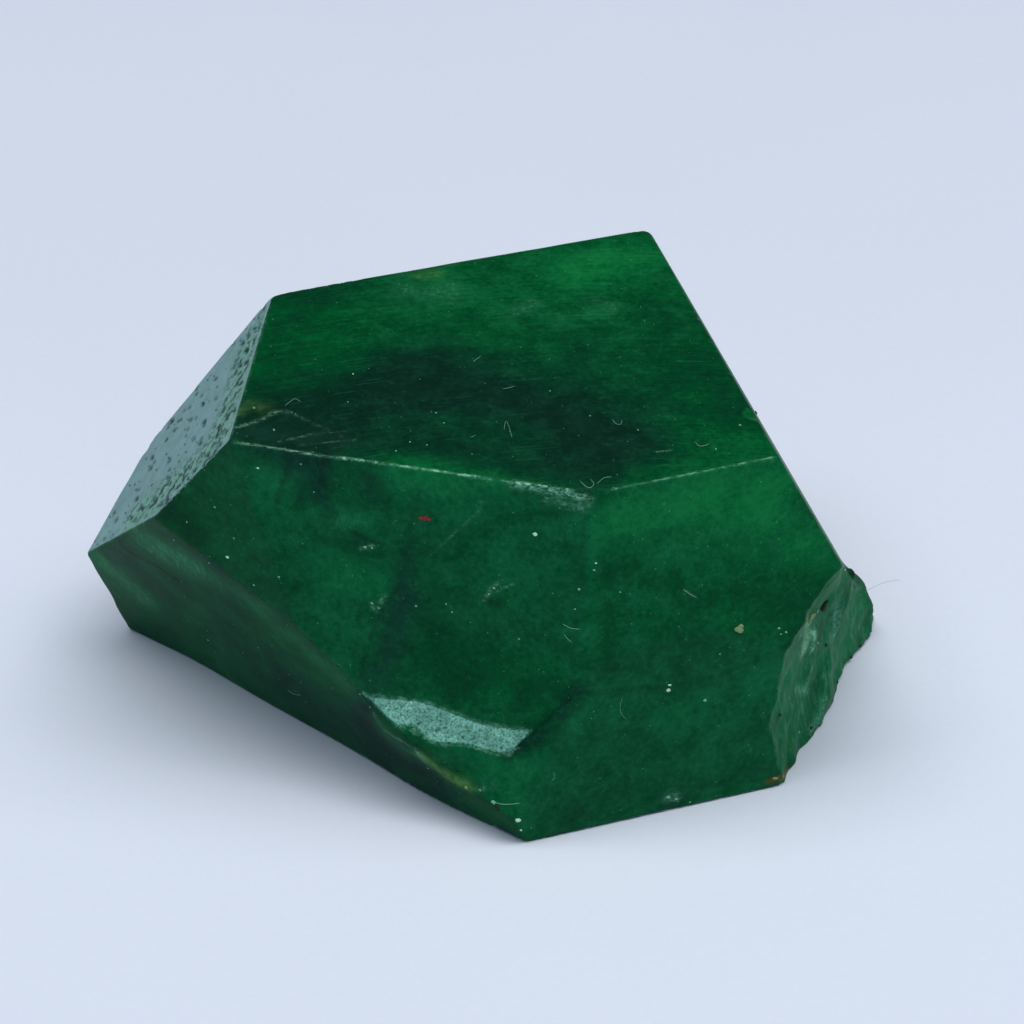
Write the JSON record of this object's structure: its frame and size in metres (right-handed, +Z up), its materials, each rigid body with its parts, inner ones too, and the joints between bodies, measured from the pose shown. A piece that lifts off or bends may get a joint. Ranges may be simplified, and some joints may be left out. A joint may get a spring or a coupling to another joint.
{
  "type": "raw emerald crystal",
  "caption": "Rough green emerald, sawn and ground into a blocky many-sided preform, with a frosted ledge, a pitted end and a broken corner; rests on its flat base",
  "frame": {"origin": "Middle of the stone's box, on the plane it rests on", "axes": "+X along the stone's length, from the pitted tail to the broken corner; +Y to its back; +Z up, square to the flat base and the flat top"},
  "size_m": [0.049, 0.0366, 0.024],
  "materials": {
    "emerald": "ground and part polished deep green stone, milky inside, frosted where it is pitted"
  },
  "bodies": {
    "root": {"emerald_crystal": "emerald"}
  },
  "joints": []
}
